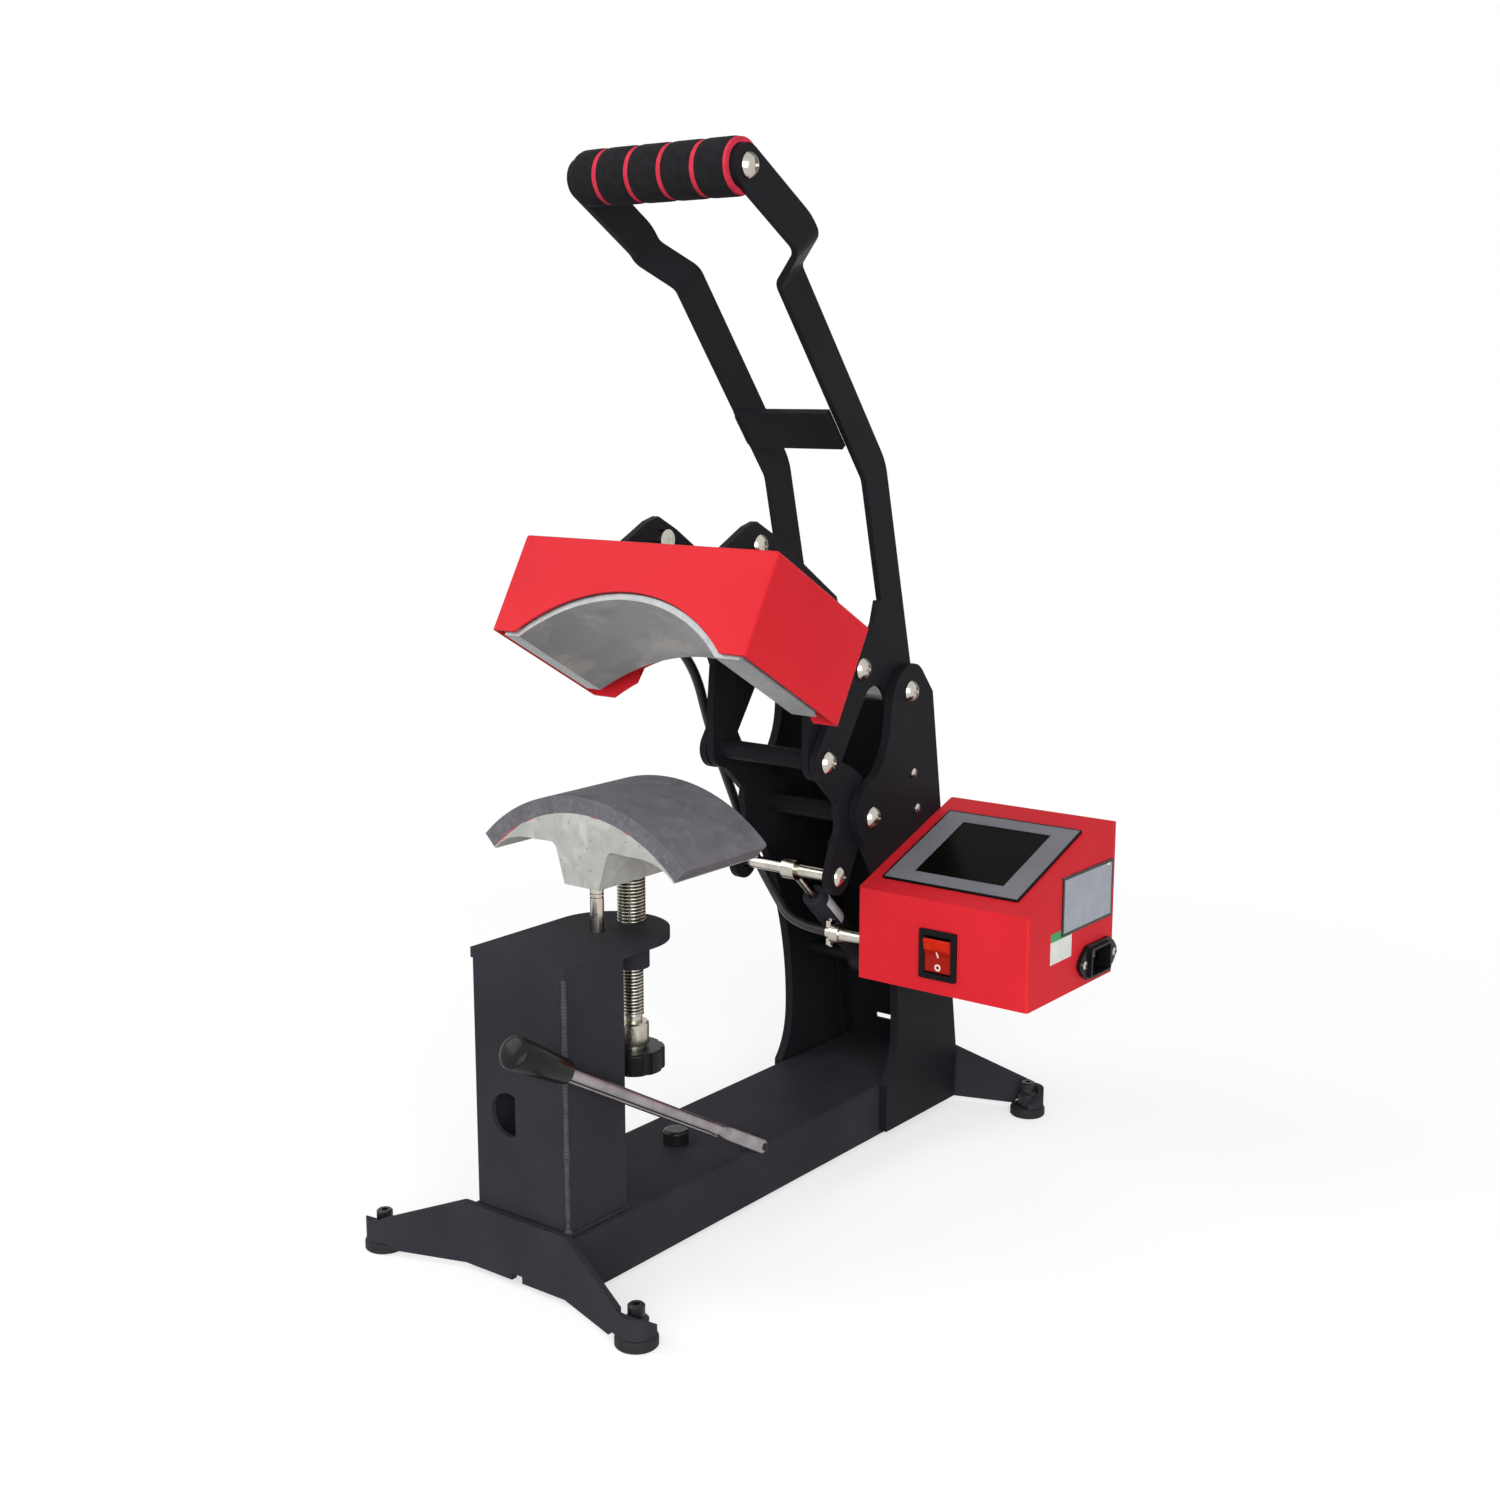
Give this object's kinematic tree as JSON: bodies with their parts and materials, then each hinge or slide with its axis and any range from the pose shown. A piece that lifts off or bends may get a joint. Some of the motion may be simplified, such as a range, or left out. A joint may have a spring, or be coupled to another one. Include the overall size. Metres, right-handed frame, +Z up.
{
  "type": "cap heat press",
  "caption": "Open swing-handle heat press for caps: arched heater, curved silicone pad on a screw-height saddle, gas strut, side lever and a sloped control box.",
  "frame": {"origin": "middle of the floor area under the press, on the floor", "axes": "+Z up, -Y to the user's side where the handle comes down, +X to the control box"},
  "size_m": [0.2872, 0.4698, 0.6349],
  "materials": {
    "black_powder_coat": "satin powder coat",
    "red_powder_coat": "fine-textured powder coat",
    "bright_hardware": "bright plated steel",
    "black_oxide": "blackened steel",
    "zinc_tube": "zinc plated",
    "cast_aluminium": "bead blasted",
    "silicone": "matte",
    "black_rubber": "matte",
    "foam": "closed-cell foam",
    "red_foam": "closed-cell foam",
    "black_plastic": "moulded",
    "cable_jacket": "heat-proof jacket",
    "panel_grey": "moulded",
    "display": "gloss",
    "rocker_red": "gloss",
    "plate_grey": "anodised",
    "board": "fibre board",
    "mica": "mica sheet",
    "wool": "fibre wool"
  },
  "bodies": {
    "base": {"base_channel": "black_powder_coat", "front_foot_plate": "black_powder_coat", "rear_foot_plate": "black_powder_coat", "foot_studs": "black_oxide", "foot_pads": "black_rubber", "front_column": "black_powder_coat", "column_top_plate": "black_powder_coat", "screw_nut": "black_powder_coat", "base_stop": "black_rubber", "right_bracket": "black_powder_coat", "left_bracket": "black_powder_coat", "rear_cover": "black_powder_coat", "cover_block": "black_powder_coat", "machine_screws": "bright_hardware", "ground_bolts": "bright_hardware", "strut_anchor": "bright_hardware", "lever_lug": "black_powder_coat", "control_box_shell": "red_powder_coat", "control_box_pan": "red_powder_coat", "circuit_board": "board", "display_frame": "panel_grey", "display_glass": "display", "switch_bezel": "black_plastic", "inlet_socket": "black_plastic", "rating_plate": "plate_grey", "cable_connector": "bright_hardware", "heater_cable": "cable_jacket"},
    "rocker": {"rocker": "rocker_red"},
    "handle": {"right_handle_arm": "black_powder_coat", "left_handle_arm": "black_powder_coat", "handle_cross_plate": "black_powder_coat", "handle_tubes": "zinc_tube", "grip_core": "zinc_tube", "grip_foam": "foam", "grip_rings": "red_foam", "grip_bolts": "bright_hardware"},
    "heater_arm": {"right_carrier": "black_powder_coat", "left_carrier": "black_powder_coat", "carrier_tubes": "black_powder_coat", "strut_shaft": "bright_hardware", "carrier_fasteners": "bright_hardware", "heater_shell": "red_powder_coat", "heater_platen": "cast_aluminium", "heating_element": "mica", "insulation": "wool", "cable_gland": "black_plastic"},
    "link": {"right_link": "black_powder_coat", "left_link": "black_powder_coat", "link_bolts": "bright_hardware"},
    "strut_rod": {"strut_rod": "bright_hardware", "strut_collar": "bright_hardware"},
    "strut_cylinder": {"strut_cylinder": "black_powder_coat"},
    "lower_platen": {"platen_saddle": "cast_aluminium", "silicone_pad": "silicone", "guide_pin": "bright_hardware"},
    "screw": {"adjusting_screw": "bright_hardware", "star_knob": "black_plastic"},
    "lever": {"lever_rod": "bright_hardware", "lever_side_rod": "bright_hardware", "lever_grip": "black_plastic"}
  },
  "joints": [
    {"name": "handle_swing", "type": "hinge", "parent": "base", "child": "handle", "pos_m": [-0.0336, 0.14332, 0.3044], "axis": [1, 0, 0], "range_deg": [0, 52]},
    {"name": "arm_swing", "type": "hinge", "parent": "base", "child": "heater_arm", "pos_m": [-0.0336, 0.10002, 0.2274], "axis": [1, 0, 0], "range_deg": [0, 27.2]},
    {"name": "link_swing", "type": "hinge", "parent": "heater_arm", "child": "link", "pos_m": [-0.0336, 0.05102, 0.2708], "axis": [1, 0, 0], "range_deg": [-54.44, 0]},
    {"name": "strut_swing", "type": "hinge", "parent": "heater_arm", "child": "strut_rod", "pos_m": [-0.0336, 0.07282, 0.1923], "axis": [1, 0, 0], "range_deg": [-31.33, 0]},
    {"name": "strut_stroke", "type": "slide", "parent": "strut_rod", "child": "strut_cylinder", "axis": [0, -0.7233, 0.6906], "range_m": [0, 0.01943]},
    {"name": "platen_height", "type": "slide", "parent": "base", "child": "lower_platen", "axis": [0, 0, 1], "range_m": [-0.012, 0]},
    {"name": "screw_turn", "type": "hinge", "parent": "lower_platen", "child": "screw", "pos_m": [-0.0336, -0.08308, 0.1145], "axis": [0, 0, 1], "range_deg": [-2160, 0]},
    {"name": "lever_lift", "type": "hinge", "parent": "base", "child": "lever", "pos_m": [0.0124, -0.01608, 0.0405], "axis": [1, 0, 0], "range_deg": [-25, 20]},
    {"name": "rocker_tilt", "type": "hinge", "parent": "base", "child": "rocker", "pos_m": [0.0746, 0.08942, 0.15], "axis": [1, 0, 0], "range_deg": [-16, 0]}
  ],
  "couplings": [
    {"joint": "arm_swing", "follows": "handle_swing", "ratio": 0.52308},
    {"joint": "link_swing", "follows": "handle_swing", "ratio": -1.0468},
    {"joint": "strut_swing", "follows": "handle_swing", "ratio": -0.60247},
    {"joint": "strut_stroke", "follows": "handle_swing", "m_per_rad": 0.021413},
    {"joint": "screw_turn", "follows": "platen_height", "rad_per_m": 3141.6}
  ]
}
